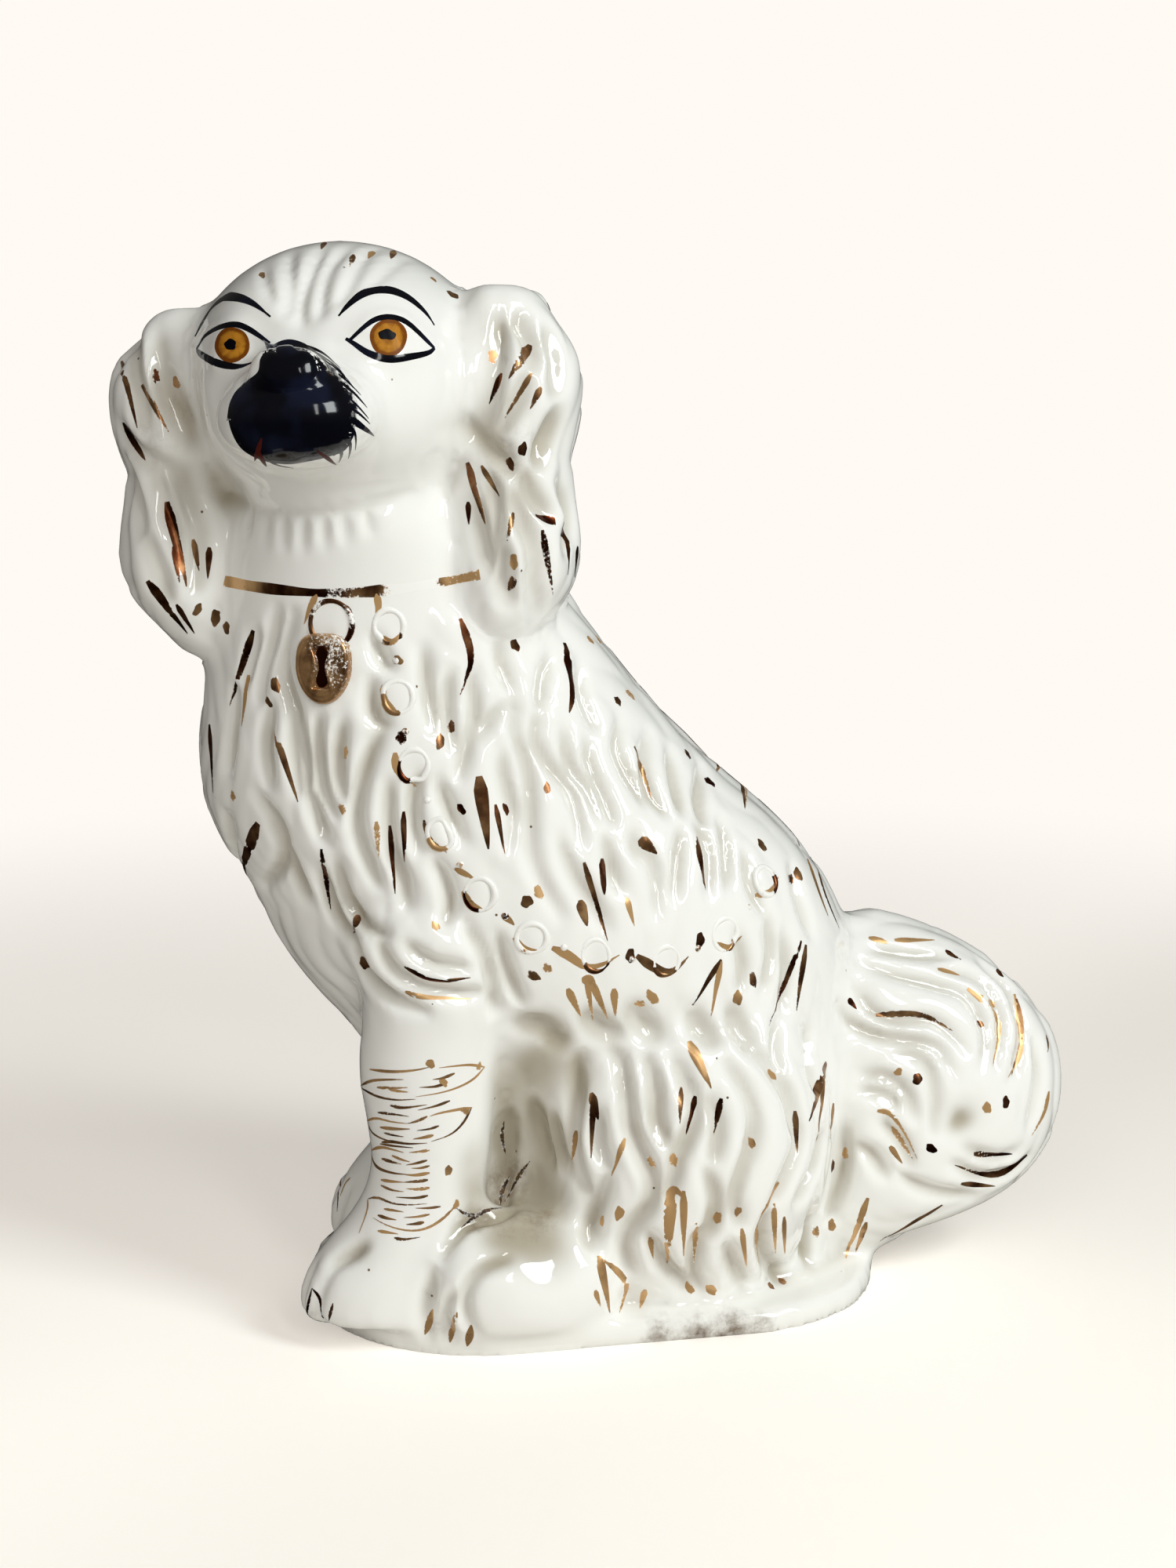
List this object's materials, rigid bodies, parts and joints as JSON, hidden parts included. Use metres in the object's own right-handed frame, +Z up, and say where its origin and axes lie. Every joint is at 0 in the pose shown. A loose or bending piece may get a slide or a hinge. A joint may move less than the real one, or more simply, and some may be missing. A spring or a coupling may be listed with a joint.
{
  "type": "staffordshire dog figure",
  "caption": "Seated spaniel mantel figure in white glazed earthenware with gilt flecks, a padlock and chain in relief, painted face and a closed flat base to stand on.",
  "frame": {"origin": "middle of the slab's underside, on the surface that the figure stands on", "axes": "+Z up, -Y towards the show side, -X towards the chest and +X towards the tail"},
  "size_m": [0.2771, 0.1404, 0.3036],
  "materials": {
    "glazed_earthenware": "glossy lead glaze over white earthenware, with specks and a faint crackle",
    "biscuit_clay": "unglazed clay inside the ware",
    "black_enamel": "blue-black enamel fired over the glaze",
    "amber_enamel": "amber enamel, brushed by hand",
    "brown_enamel": "dark brown enamel dot",
    "gilding": "worn gilding over glazed clay relief"
  },
  "bodies": {
    "root": {"back_seam_strip": "biscuit_clay", "base_slab": "glazed_earthenware", "body_back_half": "glazed_earthenware", "body_front_half": "glazed_earthenware", "chain_link_01": "gilding", "chain_link_02": "gilding", "chain_link_03": "gilding", "chain_link_04": "gilding", "chain_link_05": "gilding", "chain_link_06": "gilding", "chain_link_07": "gilding", "chain_link_08": "gilding", "chain_link_09": "gilding", "chain_link_10": "gilding", "chest_seam_strip": "biscuit_clay", "head_crown": "glazed_earthenware", "head_face": "glazed_earthenware", "muzzle_enamel": "black_enamel", "nape_collar": "gilding", "near_ear": "glazed_earthenware", "near_foreleg": "glazed_earthenware", "near_haunch": "glazed_earthenware", "near_hind_paw": "glazed_earthenware", "near_iris": "amber_enamel", "near_pupil": "brown_enamel", "nose_enamel": "black_enamel", "off_ear": "glazed_earthenware", "off_foreleg": "glazed_earthenware", "off_haunch": "glazed_earthenware", "off_hind_paw": "glazed_earthenware", "off_iris": "amber_enamel", "off_pupil": "brown_enamel", "padlock": "gilding", "padlock_shackle": "gilding", "tail": "glazed_earthenware", "throat_collar": "gilding"}
  },
  "joints": []
}
